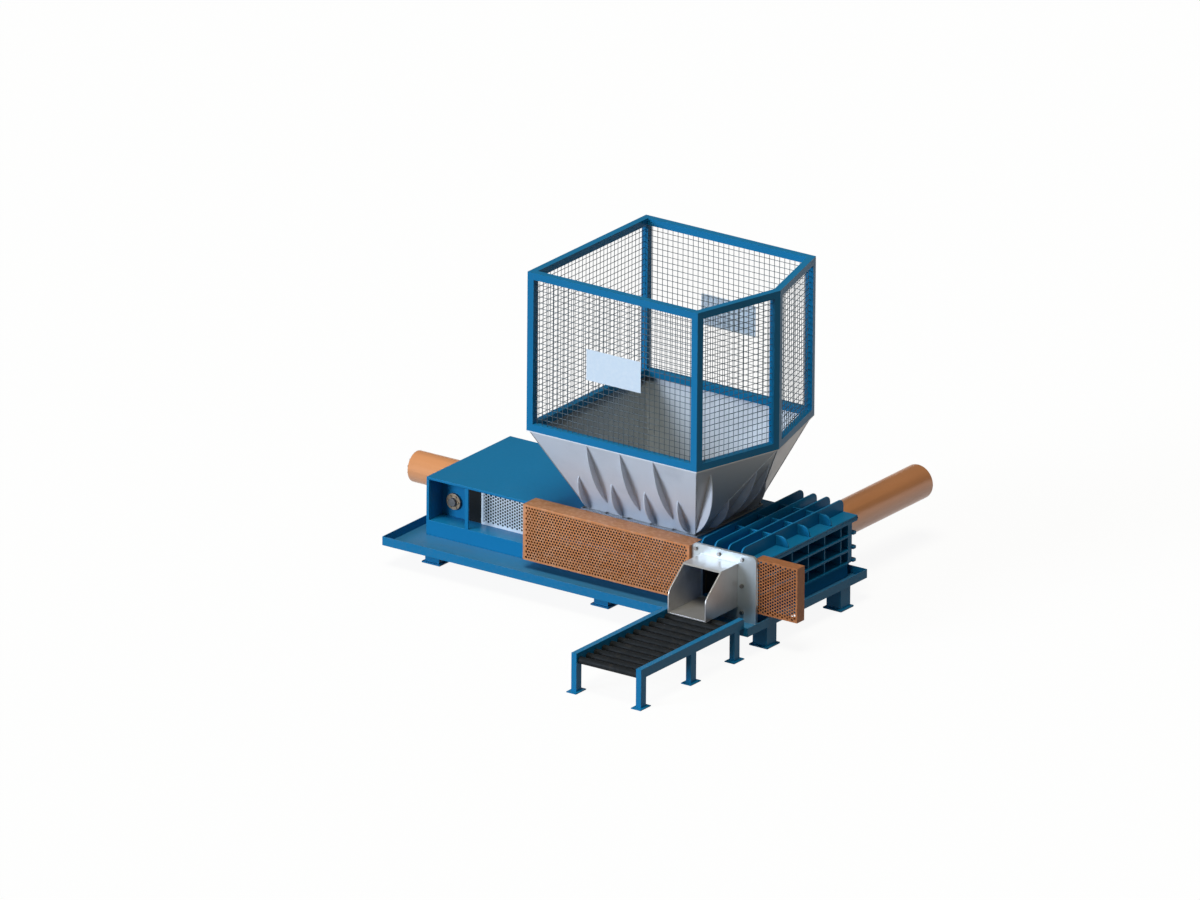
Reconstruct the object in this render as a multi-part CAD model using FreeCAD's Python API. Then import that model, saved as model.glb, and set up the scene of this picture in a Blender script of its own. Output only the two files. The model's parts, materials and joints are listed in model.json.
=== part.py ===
import FreeCAD, Part
import math
import os
from FreeCAD import Vector

# Two-ram recycling baler. Sizes in millimetres. X runs along the main ram towards the bale chamber,
# Y runs away from the outlet conveyor, Z is up from the floor. Everything is laid out from the drip
# tray's front left corner, and the finished pieces are moved so that the origin is the middle of the
# footprint.

# ---- driving sizes -------------------------------------------------------------------------------
run_gap = 0.05          # radial clearance of a piston, rod or roller on what it runs on
slide_gap = 0.5         # between a ram or gate and the plates that guide it
seat_gap = 0.3          # round a fixed cylinder in its hole

foot_plate = 180
foot_plate_thick = 15
foot_post = 140
foot_height = 184
foot_middle = 1964      # middle pair from the tray's left edge
foot_inset = (294, 79)  # end pairs from the tray's left and right edges
foot_side_inset = (356, 293)            # rows from the tray's front and back edges

tray_sheet = 4
tray_rim = 76
tray_past_box = 125     # to the right of the bale chamber box
tray_past_housing = 111                 # behind the housing

floor_above_feet = 132  # top of the plate that the bale slides on
floor_plate = 20
channel_width = 740
channel_height = 350
channel_wall = 30

housing_x0 = 148
housing_y0 = 407
housing_side_room = 219                 # from the housing's face to the channel
housing_past_blade = 128                # from the shear blade to the housing's right end
housing_skin = 12
roof_plate = 22
end_plate = 30
window_sill = 2         # lower edge of the housing windows above the bale floor
window_head = 22        # upper edge of the housing windows below the roof's top
window_x = ((175, 529), (564, 1211))

port_x = 297
port_z = 452
port_diameter = 138
port_thick = 22
port_hub = 69
port_bolts = 6
port_bolt_circle = 102
port_bolt = (16, 10)    # diameter and height

vent_x0 = 568
vent_length = 660
vent_sheet = 3
vent_stand_off = 9
vent_spacer = 20
vent_border = (60, 40, 30)              # left, right, and above and below the wall opening behind it

feed_length = 1050
blade_width = 50

main_cylinder_room = 43.5               # from its barrel to the channel's floor and ceiling
main_cylinder_wall = 21.5
main_cylinder_spare = 25                # between the piston and the gland at full reach
main_cylinder_tail = 513                # how far it stands out of the housing's end
main_rod_diameter = 140
ram_past_feed = 250     # how much longer the ram is than the feed opening
ram_back_room = 92      # from the cylinder's collar to the ram's open back
ram_rest_gap = 40       # from the ram's face to the feed opening
ram_stop_gap = 10       # from the extended face to the chamber
ram_wall = 20
ram_face = 25
cylinder_base = 40
gland_length = 80
piston_length = 110
collar_gap = 4          # from a cylinder's mounting collar to the lines of the plates round it
collar_thick = 30
piston_back_gap = 10

chamber_length = 350    # along X
chamber_lead = 92       # from the housing's end to the chamber
box_wall = 30
box_back_wall = 60
rib_depth = 139         # of the ribs outside the chamber's right wall
gate_slot = 60
box_overhang = 57       # top plate and ribs behind the back wall
box_edge_bar = 27
cross_ram_length = 220
cross_ram_front_gap = 4                 # from its face to the channel
cross_ram_back_gap = 28                 # from its back to the box's back wall
cross_cylinder_room = 28.5
cross_cylinder_wall = 26.5
cross_cylinder_spare = 167
cross_rod_diameter = 150
cross_ram_end = 8       # the extended face stops this far inside the outlet plate's front

rib_thick = 16
top_rib_height = 110
long_rib_count = 4
long_rib_margin = (73, 146.5)           # from the box's left and right sides to the outer ribs
long_rib_inset = 6
long_rib_round = 55
cross_rib_count = 3
cross_rib_height = 85
cross_rib_margin = (486, 345)           # from the box's front and back
cross_rib_inset = 20
cross_rib_round = 72
side_rib_count = 6
side_rib_margin = (15, 98)
side_rib_inset = 14     # upright ribs end this far inside the level ones
side_rib_round = 28
side_level_thick = 20
side_rib_levels = (-floor_plate, 90, 214)   # undersides of the level ribs above the bale floor
skirt_thick = 20

outlet_set_back = 33    # plate's face behind the guard's face
outlet_left_gap = 2
outlet_past_box = 21
outlet_thick = 28
outlet_above_roof = 74
outlet_corner = 45
outlet_bolt_edge = 41
outlet_bolt_top = 42
outlet_bolt_spread = 52                 # half the bolt spacing past half the mouth
chute_wall = 12
chute_top_reach = 232
chute_floor_reach = 450
chute_slope_drop = 187
chute_corner = 90

gate_overlap = (30, 250)                # shut gate past the chamber's left and right walls
gate_open_gap = 10      # from the open gate to the chamber
gate_gap = 6            # from the gate to the outlet plate and to the chamber walls
gate_cylinder_diameter = 110
gate_cylinder_bore = 80
gate_rod_diameter = 40
gate_cylinder_ends = 35
gate_piston_length = 50
gate_piston_gap = 10    # from the piston to either end of its bore
gate_rod_show = 20      # rod between the cylinder's end and the open gate
gate_foot = (40, 99)    # width and height of the cylinder's feet
gate_foot_inset = 40
gate_rail = 30
gate_rail_past = 10
gate_rail_gap = 1       # behind the guard's sheet

guard_before_cylinder = 319
guard_depth = 178
guard_above_roof = 53
guard_below_floor = 51
guard_sheet = 3
guard_end_gap = 2
guard_lip = 100
guard_lip_gap = 10      # from the lips to the gate's rails
end_guard_length = 386
end_guard_depth = 102
end_guard_above_roof = 56
end_guard_below_floor = 39
end_guard_gap = 1
perforation = 19.5      # hole diameter of the perforated sheets
perforation_pitch = 27.3
perforation_border = 12

hopper_height = 718     # cage seat above the roof
hopper_sheet = 6
hopper_sheet_level = 7.2                # the sloping sheet's thickness measured level
hopper_tuck = 14        # top edge of the sheet inside the cage's outline
hopper_ledge = 55       # from the channel's walls out to the hopper's throat
hopper_flange = 46
hopper_flange_thick = 12
hopper_rim = 60
hopper_rim_thick = 8
hopper_bolt_inset = (24, 14)            # from the flange's edges along X and Y
hopper_rib_pitch = 325
hopper_rib_depth = 64
hopper_rib_thick = 10
hopper_rib_middle = 64  # middle rib's place right of the cage's middle
hopper_short_shift = 44
long_blade = (0.15, 1)  # lower and upper end as shares of the hopper's height
short_blade = (0, 0.47)
corner_blade = (0.02, 0.9)
corner_blade_depth = 100
corner_blade_lean = 0.2                 # upper end, as a share of the rim's slanted side
right_blade_pitch = 260
right_blades = ((-1, 0.42), (-0.33, 0.75), (0.33, 0.75), (1, 0.42))     # place in pitches, upper end
hopper_bolts = 6        # along the front and the back of the flange

outlet_bolt = (20, 30, 13)              # diameter, across flats and head height
outlet_washer = (37, 3)                 # diameter and thickness
hopper_bolt = (12, 19, 8)
hopper_washer = (24, 2.5)
bolt_play = 2           # of a bolt in its hole

cage_past_feed = (348, 274)             # to the left and right of the feed opening
cage_past_channel = (445, 485)          # in front of and behind the channel
cage_apex = 231
cage_height = 1362
cage_tube = 60
mesh_pitch = 50
mesh_wire = 5
board_length = 535
board_height = 267
board_thick = 3

conveyor_width = 683
conveyor_chute_gap = 13
rail_width = 50
rail_height = 80
rail_wall = 4
rail_above_floor = 19   # top of the rails above the bale floor
leg_depth = 72
leg_middle = 703        # from the conveyor's open end
leg_inset = 59          # of the legs nearest the baler
leg_plate = (96, 145, 8)
roller_count = 13
roller_pitch = 110
roller_diameter = 60
roller_wall = 3
roller_margin = (46, 80)                # from the conveyor's two ends
roller_drop = 4         # roller tops below the chute's floor
roller_end_gap = 5
roller_shaft = 17
roller_shaft_grip = 10  # length of shaft inside each rail
roller_bearing = 12
roller_bearing_inset = 2

# ---- places worked out from the sizes ------------------------------------------------------------
floor_level = foot_height + floor_above_feet
tray_floor = foot_height + tray_sheet
ceiling = floor_level + channel_height
roof_top = ceiling + roof_plate
axis_z = floor_level + channel_height / 2
main_cylinder = channel_height - 2 * main_cylinder_room
main_cylinder_bore = main_cylinder - 2 * main_cylinder_wall
main_collar = channel_height - 2 * collar_gap
chamber_span = min(chamber_length, channel_height)      # the cross cylinder fits the narrower way
cross_cylinder = chamber_span - 2 * cross_cylinder_room
cross_cylinder_bore = cross_cylinder - 2 * cross_cylinder_wall
cross_collar = chamber_span - 2 * collar_gap

channel_y0 = housing_y0 + housing_side_room
channel_y1 = channel_y0 + channel_width
centre_y = (channel_y0 + channel_y1) / 2
housing_y1 = channel_y1 + housing_side_room

ram_x0 = housing_x0 + end_plate + collar_thick + ram_back_room
ram_x1 = ram_x0 + feed_length + ram_past_feed
feed_x0 = ram_x1 + ram_rest_gap
feed_x1 = feed_x0 + feed_length
housing_x1 = feed_x1 + blade_width + housing_past_blade

chamber_x0 = housing_x1 + chamber_lead
chamber_x1 = chamber_x0 + chamber_length
chamber_mid = (chamber_x0 + chamber_x1) / 2
box_x0 = housing_x1
box_x1 = chamber_x1 + box_wall + rib_depth
cross_face_y = channel_y1 + cross_ram_front_gap
box_back_y0 = cross_face_y + cross_ram_length + cross_ram_back_gap
box_back_y1 = box_back_y0 + box_back_wall
box_y1 = box_back_y1 + box_overhang

guard_y0 = housing_y0 - guard_depth
outlet_y0 = guard_y0 + outlet_set_back
box_y0 = outlet_y0 + outlet_thick
chamber_y0 = box_y0 + gate_slot
outlet_x0 = box_x0 + outlet_left_gap
outlet_x1 = box_x1 + outlet_past_box
outlet_top = roof_top + outlet_above_roof
end_guard_x1 = outlet_x1 + end_guard_length

main_stroke = chamber_x0 - ram_stop_gap - ram_x1
main_cylinder_length = (cylinder_base + piston_back_gap + main_stroke + piston_length
                        + main_cylinder_spare + gland_length)
main_tail_x = housing_x0 - main_cylinder_tail
main_head_x = main_tail_x + main_cylinder_length
main_piston_x = main_tail_x + cylinder_base + piston_back_gap

cross_stroke = cross_face_y - outlet_y0 - cross_ram_end
cross_cylinder_length = (cylinder_base + piston_back_gap + cross_stroke + piston_length
                         + cross_cylinder_spare + gland_length)
cross_head_y = box_back_y1 - gland_length
cross_tail_y = cross_head_y + cross_cylinder_length
cross_piston_y = cross_tail_y - cylinder_base - piston_back_gap

gate_length = gate_overlap[0] + chamber_length + gate_overlap[1]
gate_shut_x0 = chamber_x0 - gate_overlap[0]
gate_x0 = chamber_x0 - gate_open_gap - gate_length
gate_stroke = gate_shut_x0 - gate_x0
gate_y0 = box_y0 + gate_gap
gate_y1 = chamber_y0 - gate_gap
gate_mid_y = (gate_y0 + gate_y1) / 2
gate_bore_x1 = gate_x0 - gate_rod_show - gate_cylinder_ends
gate_bore_x0 = gate_bore_x1 - gate_stroke - gate_piston_length - 2 * gate_piston_gap
guard_x0 = gate_bore_x0 - gate_cylinder_ends - guard_before_cylinder

cage_x0 = feed_x0 - cage_past_feed[0]
cage_x1 = feed_x1 + cage_past_feed[1]
cage_y0 = channel_y0 - cage_past_channel[0]
cage_y1 = channel_y1 + cage_past_channel[1]
cage_z0 = roof_top + hopper_height
cage_z1 = cage_z0 + cage_height
cage_mid_x = (cage_x0 + cage_x1) / 2
throat_y0 = channel_y0 - hopper_ledge
throat_y1 = channel_y1 + hopper_ledge

tray_length = box_x1 + tray_past_box
tray_width = housing_y1 + tray_past_housing

conveyor_x0 = chamber_x0 - chute_wall - conveyor_chute_gap - rail_width
conveyor_x1 = conveyor_x0 + conveyor_width
conveyor_length = sum(roller_margin) + (roller_count - 1) * roller_pitch
conveyor_y0 = -conveyor_length         # its rails butt against the tray's rim
rail_top = floor_level + rail_above_floor
roller_axis_z = floor_level - chute_wall - roller_drop - roller_diameter / 2

origin = Vector((main_tail_x + end_guard_x1) / 2,
                (conveyor_y0 - (leg_plate[1] - leg_depth) / 2 + cross_tail_y) / 2, 0)


# ---- shape helpers -------------------------------------------------------------------------------
def block(x0, x1, y0, y1, z0, z1):
    return Part.makeBox(x1 - x0, y1 - y0, z1 - z0, Vector(x0, y0, z0))


def bar(diameter, start, direction, length):
    return Part.makeCylinder(diameter / 2, length, start, direction)


def tube(outer, inner, start, direction, length):
    return bar(outer, start, direction, length).cut(bar(inner, start, direction, length))


def prism(corners, along):
    """A plate whose outline goes through the corners, thickened along a vector."""
    return Part.Face(Part.makePolygon(corners + [corners[0]])).extrude(along)


def facet_solid(faces):
    """A closed solid from flat faces, each given by its corners."""
    sheets = [Part.Face(Part.makePolygon(corners + [corners[0]])) for corners in faces]
    shell = Part.makeShell(sheets)
    shell.sewShape()
    solid = Part.Solid(shell)
    solid.fixTolerance(1e-6)
    if solid.Volume < 0:
        solid.reverse()
    return solid


def joined(shapes):
    result = shapes[0].multiFuse(shapes[1:]) if len(shapes) > 1 else shapes[0]
    return result.removeSplitter()


def without(shape, cutters):
    return shape.cut(Part.makeCompound(cutters))


def round_edges(shape, radius, chosen):
    """Fillets the straight edges for which chosen(middle, direction) is true."""
    edges = []
    for edge in shape.Edges:
        if edge.Curve.TypeId == "Part::GeomLine":
            a, b = edge.Vertexes[0].Point, edge.Vertexes[1].Point
            if chosen((a + b) * 0.5, (b - a).normalize()):
                edges.append(edge)
    return shape.makeFillet(radius, edges)


def spread(first, last, count):
    """Evenly spaced places from the first to the last."""
    return [first + (last - first) * k / (count - 1) for k in range(count)]


def perforated(corner, side, up, width, height, thick, first_row_along_side):
    """A flat sheet of staggered round holes inside a plain border, thickened away from side x up."""
    normal = side.cross(up)
    step = perforation_pitch
    row_step = step * math.sqrt(3) / 2
    reach = (width, height) if first_row_along_side else (height, width)
    inside = perforation_border + perforation / 2
    rows = int((reach[1] - 2 * inside) / row_step) + 1
    holes = int((reach[0] - 2 * inside - step / 2) / step) + 1
    start_u = (reach[0] - (holes - 0.5) * step) / 2
    start_v = (reach[1] - (rows - 1) * row_step) / 2
    wires = []
    for row in range(rows):
        for hole in range(holes):
            u = start_u + hole * step + (step / 2 if row % 2 else 0)
            v = start_v + row * row_step
            place = side * u + up * v if first_row_along_side else side * v + up * u
            circle = Part.Circle(corner + place, normal, perforation / 2)
            wires.append(Part.Wire(circle.toShape()))
    outline = Part.makePolygon([corner, corner + side * width, corner + side * width + up * height,
                                corner + up * height, corner])
    face = Part.makeFace([outline] + wires, "Part::FaceMakerBullseye")
    return face.extrude(normal * -thick)


def hex_bolt(seat, out, length, bolt, under_head):
    """A bolt with its washer; seat is where the washer meets the flange, out points to the head."""
    diameter, across_flats, head_height = bolt
    washer_diameter, washer_thick = under_head
    radius = across_flats / math.sqrt(3)
    side = Vector(0, 0, 1) if abs(out.z) < 0.5 else Vector(1, 0, 0)
    other = out.cross(side)
    base = seat + out * washer_thick
    corners = []
    for k in range(6):
        angle = math.radians(60 * k + 30)
        corners.append(base + side * (radius * math.cos(angle)) + other * (radius * math.sin(angle)))
    head = prism(corners, out * head_height)
    washer = bar(washer_diameter, seat, out, washer_thick)
    shank = bar(diameter, base, out * -1, washer_thick + length)
    return head.fuse([washer, shank]).removeSplitter()


def crescent(low, high, outward, across, depth):
    """A stiffening blade standing on the line from low to high, curved on its outer edge."""
    middle = (low + high) * 0.5 + outward * depth
    arc = Part.Arc(low, middle, high).toShape()
    face = Part.Face(Part.Wire([arc, Part.makeLine(high, low)]))
    face.translate(across * (-hopper_rib_thick / 2))
    return face.extrude(across * hopper_rib_thick)


def save(name, shapes):
    group = Part.makeCompound(shapes) if len(shapes) > 1 else shapes[0]
    group.translate(origin * -1)
    group.exportStep("parts/" + name + ".step")


X, Y, Z = Vector(1, 0, 0), Vector(0, 1, 0), Vector(0, 0, 1)


# ---- tray and feet -------------------------------------------------------------------------------
def drip_tray():
    outside = block(0, tray_length, 0, tray_width, foot_height, foot_height + tray_rim)
    inside = block(tray_sheet, tray_length - tray_sheet, tray_sheet, tray_width - tray_sheet,
                   tray_floor, foot_height + tray_rim)
    return [outside.cut(inside)]


def support_feet():
    feet = []
    for x in (foot_inset[0], foot_middle, tray_length - foot_inset[1]):
        for y in (foot_side_inset[0], tray_width - foot_side_inset[1]):
            plate = block(x - foot_plate / 2, x + foot_plate / 2, y - foot_plate / 2,
                          y + foot_plate / 2, 0, foot_plate_thick)
            post = block(x - foot_post / 2, x + foot_post / 2, y - foot_post / 2,
                         y + foot_post / 2, foot_plate_thick, foot_height)
            feet.append(plate.fuse(post))
    return feet


# ---- housing and ram channel ---------------------------------------------------------------------
def housing_front_wall():
    wall = block(housing_x0, housing_x1, housing_y0, housing_y0 + housing_skin, tray_floor, ceiling)
    windows = [block(x0, x1, housing_y0, housing_y0 + housing_skin, floor_level + window_sill,
                     roof_top - window_head) for x0, x1 in window_x]
    return [without(wall, windows)]


def housing_back_wall():
    return [block(housing_x0, housing_x1, housing_y1 - housing_skin, housing_y1, tray_floor, ceiling)]


def housing_roof():
    roof = block(housing_x0, housing_x1, housing_y0, housing_y1, ceiling, roof_top)
    feed = block(feed_x0, feed_x1 + blade_width, channel_y0, channel_y1, ceiling, roof_top)
    return [roof.cut(feed)]


def housing_end_plate():
    plate = block(housing_x0, housing_x0 + end_plate, housing_y0 + housing_skin,
                  housing_y1 - housing_skin, tray_floor, ceiling)
    hole = bar(main_cylinder + 2 * seat_gap, Vector(housing_x0, centre_y, axis_z), X, end_plate)
    return [plate.cut(hole)]


def channel_walls():
    x0, x1 = housing_x0 + end_plate, chamber_x0 - box_wall
    front = block(x0, x1, channel_y0 - channel_wall, channel_y0, floor_level, ceiling)
    left, right, edge = vent_border
    opening = block(vent_x0 + left, vent_x0 + vent_length - right, channel_y0 - channel_wall,
                    channel_y0, floor_level + edge, ceiling - edge)
    back = block(x0, x1, channel_y1, channel_y1 + channel_wall, floor_level, ceiling)
    return [front.cut(opening), back]


def channel_floor():
    x0 = housing_x0 + end_plate
    main = block(x0, box_x0, housing_y0 + housing_skin, housing_y1 - housing_skin,
                 floor_level - floor_plate, floor_level)
    chamber = block(box_x0, chamber_x1, box_y0, box_back_y0, floor_level - floor_plate, floor_level)
    return [main, chamber]


def vent_panel():
    panel = perforated(Vector(vent_x0, channel_y0 - channel_wall - vent_stand_off, floor_level), X, Z,
                       vent_length, channel_height, vent_sheet, False)
    y0 = channel_y0 - channel_wall - vent_stand_off + vent_sheet
    spacers = [block(x, x + vent_spacer, y0, channel_y0 - channel_wall, floor_level, ceiling)
               for x in (vent_x0, vent_x0 + vent_length - vent_spacer)]
    return [panel] + spacers


def port_flange():
    face_y = channel_y0 - channel_wall
    centre = Vector(port_x, face_y, port_z)
    disc = bar(port_diameter, centre, Y * -1, port_thick)
    hub = bar(port_hub, centre - Y * port_thick, Y * -1, port_thick)
    solids = [joined([disc, hub])]
    for k in range(port_bolts):
        angle = 2 * math.pi * k / port_bolts
        reach = X * math.cos(angle) + Z * math.sin(angle)
        spot = centre - Y * port_thick + reach * (port_bolt_circle / 2)
        solids.append(bar(port_bolt[0], spot, Y * -1, port_bolt[1]))
    return solids


def shear_blade():
    return [block(feed_x1, feed_x1 + blade_width, channel_y0, channel_y1, ceiling, roof_top)]


# ---- main ram ------------------------------------------------------------------------------------
def main_cylinder_barrel():
    tail = Vector(main_tail_x, centre_y, axis_z)
    barrel = bar(main_cylinder, tail, X, main_cylinder_length - gland_length)
    collar = bar(main_collar, Vector(housing_x0 + end_plate, centre_y, axis_z), X, collar_thick)
    bore = bar(main_cylinder_bore, tail + X * cylinder_base, X, main_cylinder_length)
    return [joined([barrel, collar]).cut(bore)]


def main_cylinder_gland():
    return [tube(main_cylinder, main_rod_diameter + 2 * run_gap,
                 Vector(main_head_x - gland_length, centre_y, axis_z), X, gland_length)]


def main_piston():
    return [bar(main_cylinder_bore - 2 * run_gap, Vector(main_piston_x, centre_y, axis_z), X,
                piston_length)]


def main_rod():
    start = main_piston_x + piston_length
    return [bar(main_rod_diameter, Vector(start, centre_y, axis_z), X, ram_x1 - ram_face - start)]


def main_ram():
    y0, y1 = channel_y0 + slide_gap, channel_y1 - slide_gap
    z0, z1 = floor_level + slide_gap, ceiling - slide_gap
    body = block(ram_x0, ram_x1, y0, y1, z0, z1)
    hollow = block(ram_x0, ram_x1 - ram_face, y0 + ram_wall, y1 - ram_wall, z0 + ram_wall,
                   z1 - ram_wall)
    return [body.cut(hollow)]


# ---- bale chamber box ----------------------------------------------------------------------------
def box_back_wall_solid():
    wall = block(box_x0, box_x1 - side_rib_inset, box_back_y0, box_back_y1,
                 floor_level - floor_plate, ceiling)
    return wall.cut(bar(cross_cylinder + 2 * seat_gap, Vector(chamber_mid, box_back_y0, axis_z), Y,
                        box_back_wall))


def box_top_plate():
    plate = block(box_x0, box_x1, box_y0, box_y1, ceiling, roof_top)
    edge = block(chamber_x1 + box_wall, box_x1, chamber_y0, box_y1, ceiling - box_edge_bar, ceiling)
    return [plate] + edge.cut(box_back_wall_solid()).Solids


def box_right_wall():
    return [block(chamber_x1, chamber_x1 + box_wall, chamber_y0, box_back_y0, tray_floor, ceiling)]


def box_left_wall():
    x0 = chamber_x0 - box_wall
    front = block(x0, chamber_x0, chamber_y0, channel_y0, floor_level, ceiling)
    back = block(x0, chamber_x0, channel_y1, box_back_y0, floor_level, ceiling)
    return [front, back]


def box_top_ribs():
    longs = []
    for x in spread(box_x0 + long_rib_margin[0], box_x1 - long_rib_margin[1], long_rib_count):
        rib = block(x - rib_thick / 2, x + rib_thick / 2, box_y0 + long_rib_inset, box_y1, roof_top,
                    roof_top + top_rib_height)
        longs.append(round_edges(rib, long_rib_round,
                                 lambda m, d: abs(d.x) > 0.9 and m.z > roof_top + 1))
    x0, x1 = box_x0 + long_rib_margin[0], box_x1 - cross_rib_inset
    lengths = []
    for y in spread(box_y0 + cross_rib_margin[0], box_y1 - cross_rib_margin[1], cross_rib_count):
        rib = block(x0, x1, y - rib_thick / 2, y + rib_thick / 2, roof_top,
                    roof_top + cross_rib_height)
        rib = round_edges(rib, cross_rib_round,
                          lambda m, d: abs(d.y) > 0.9 and m.z > roof_top + 1 and m.x > x1 - 1)
        lengths += without(rib, longs).Solids
    return longs + lengths


def box_side_ribs():
    x0, x1 = chamber_x1 + box_wall, box_x1 - side_rib_inset
    top = ceiling - box_edge_bar
    levels = []
    for height in side_rib_levels:
        z = floor_level + height
        level = block(x0, box_x1, chamber_y0, box_y1, z, z + side_level_thick)
        level = round_edges(level, side_rib_round,
                            lambda m, d: abs(d.z) > 0.9 and m.y > box_y1 - 1 and m.x > x0 + 1)
        gap = block(x0, box_x1, box_back_y0, box_back_y1, z, z + side_level_thick)
        levels += level.cut(gap).Solids
    skirt = block(x1 - skirt_thick, x1, chamber_y0, box_back_y0, tray_floor,
                  floor_level + side_rib_levels[0])
    lengths = []
    for y in spread(chamber_y0 + side_rib_margin[0], box_back_y0 - side_rib_margin[1], side_rib_count):
        rib = block(x0, x1, y - rib_thick / 2, y + rib_thick / 2, tray_floor, top)
        lengths += without(rib, levels + [skirt]).Solids
    return levels + [skirt] + lengths


# ---- cross ram -----------------------------------------------------------------------------------
def cross_cylinder_barrel():
    tail = Vector(chamber_mid, cross_tail_y, axis_z)
    barrel = bar(cross_cylinder, tail, Y * -1, cross_cylinder_length - gland_length)
    collar = bar(cross_collar, Vector(chamber_mid, box_back_y1, axis_z), Y, collar_thick)
    bore = bar(cross_cylinder_bore, tail - Y * cylinder_base, Y * -1, cross_cylinder_length)
    return [joined([barrel, collar]).cut(bore)]


def cross_cylinder_gland():
    return [tube(cross_cylinder, cross_rod_diameter + 2 * run_gap,
                 Vector(chamber_mid, cross_head_y, axis_z), Y, gland_length)]


def cross_piston():
    return [bar(cross_cylinder_bore - 2 * run_gap,
                Vector(chamber_mid, cross_piston_y - piston_length, axis_z), Y, piston_length)]


def cross_rod():
    start = cross_face_y + ram_face
    return [bar(cross_rod_diameter, Vector(chamber_mid, start, axis_z), Y,
                cross_piston_y - piston_length - start)]


def cross_ram():
    x0, x1 = chamber_x0 + slide_gap, chamber_x1 - slide_gap
    z0, z1 = floor_level + slide_gap, ceiling - slide_gap
    y1 = cross_face_y + cross_ram_length
    body = block(x0, x1, cross_face_y, y1, z0, z1)
    hollow = block(x0 + ram_wall, x1 - ram_wall, cross_face_y + ram_face, y1, z0 + ram_wall,
                   z1 - ram_wall)
    return [body.cut(hollow)]


# ---- outlet gate ---------------------------------------------------------------------------------
def gate_plate():
    return [block(gate_x0, gate_x0 + gate_length, gate_y0, gate_y1, floor_level + slide_gap,
                  ceiling - slide_gap)]


def gate_cylinder():
    x0, x1 = gate_bore_x0 - gate_cylinder_ends, gate_bore_x1 + gate_cylinder_ends
    body = bar(gate_cylinder_diameter, Vector(x0, gate_mid_y, axis_z), X, x1 - x0)
    width, height = gate_foot
    feet = [block(x, x + width, gate_mid_y, housing_y0, axis_z - height / 2, axis_z + height / 2)
            for x in (x0 + gate_foot_inset, x1 - gate_foot_inset - width)]
    bore = bar(gate_cylinder_bore, Vector(gate_bore_x0, gate_mid_y, axis_z), X,
               gate_bore_x1 - gate_bore_x0)
    rod_hole = bar(gate_rod_diameter + 2 * run_gap, Vector(gate_bore_x1, gate_mid_y, axis_z), X,
                   gate_cylinder_ends)
    return [without(joined([body] + feet), [bore, rod_hole])]


def gate_rod():
    piston_x = gate_bore_x0 + gate_piston_gap
    piston = bar(gate_cylinder_bore - 2 * run_gap, Vector(piston_x, gate_mid_y, axis_z), X,
                 gate_piston_length)
    rod = bar(gate_rod_diameter, Vector(piston_x, gate_mid_y, axis_z), X, gate_x0 - piston_x)
    return [joined([piston, rod])]


def gate_rails():
    """Level bars that guide the gate below and above, left of the chamber and right of it."""
    y0 = box_y0 + guard_sheet + gate_rail_gap
    left = gate_x0 - gate_rail_past
    right = gate_shut_x0 + gate_length + gate_rail_past
    lower_z = floor_level - gate_rail
    return [block(left, box_x0, y0, housing_y0, lower_z, floor_level),
            block(left, box_x0, y0, housing_y0, ceiling, roof_top),
            block(chamber_x1, right, y0, chamber_y0, lower_z, floor_level),
            block(box_x1, right, y0, chamber_y0, ceiling, roof_top)]


# ---- outlet --------------------------------------------------------------------------------------
def outlet_bolt_spots():
    """Three columns of three, but for the two places that the chute's mouth takes."""
    x0, z0 = outlet_x0 + outlet_bolt_edge, outlet_top - outlet_bolt_top
    width, height = chamber_length + 2 * outlet_bolt_spread, channel_height + 2 * outlet_bolt_spread
    spots = []
    for row, z in enumerate(spread(z0, z0 - height, 3)):
        for column, x in enumerate(spread(x0, x0 + width, 3)):
            if row == 0 or column != 1:
                spots.append(Vector(x, outlet_y0, z))
    return spots


def outlet_plate():
    plate = block(outlet_x0, outlet_x1, outlet_y0, box_y0, tray_floor, outlet_top)
    plate = round_edges(plate, outlet_corner, lambda m, d: abs(d.y) > 0.9 and m.z > outlet_top - 1)
    mouth = block(chamber_x0, chamber_x1, outlet_y0, box_y0, floor_level, ceiling)
    holes = [bar(outlet_bolt[0] + bolt_play, spot, Y, outlet_thick) for spot in outlet_bolt_spots()]
    return [without(plate, [mouth] + holes)]


def chute_profile(x, inset):
    """Side outline of the outlet chute at one X, drawn inset from its floor and its roof."""
    z0, z1 = floor_level - chute_wall + inset, ceiling + chute_wall - inset
    y_top, y_floor = outlet_y0 - chute_top_reach, outlet_y0 - chute_floor_reach
    knee = Vector(x, y_floor, ceiling + chute_wall - chute_slope_drop)
    brow = Vector(x, y_top, ceiling + chute_wall)
    slope = (brow - knee).normalize()
    turn = math.acos(slope.dot(Z))
    reach = chute_corner * math.tan(turn / 2)
    centre = knee - Z * reach + Y * chute_corner
    bend = centre + (knee - centre).normalize() * chute_corner
    drop = slope * (inset / slope.z)
    points = [Vector(x, outlet_y0, z1), brow - drop, knee + slope * reach, bend, knee - Z * reach,
              Vector(x, y_floor, z0), Vector(x, outlet_y0, z0)]
    edges = [Part.makeLine(points[0], points[1]), Part.makeLine(points[1], points[2]),
             Part.Arc(points[2], points[3], points[4]).toShape(),
             Part.makeLine(points[4], points[5]), Part.makeLine(points[5], points[6]),
             Part.makeLine(points[6], points[0])]
    return Part.Wire(edges)


def outlet_chute():
    x0, x1 = chamber_x0 - chute_wall, chamber_x1 + chute_wall
    outside = Part.Face(chute_profile(x0, 0)).extrude(X * (x1 - x0))
    y_floor = outlet_y0 - chute_floor_reach
    inside = block(chamber_x0, chamber_x1, y_floor, outlet_y0, floor_level, ceiling)
    return [outside.cut(inside)]


def outlet_flange_bolts():
    return [hex_bolt(spot, Y * -1, outlet_thick, outlet_bolt, outlet_washer)
            for spot in outlet_bolt_spots()]


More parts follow.
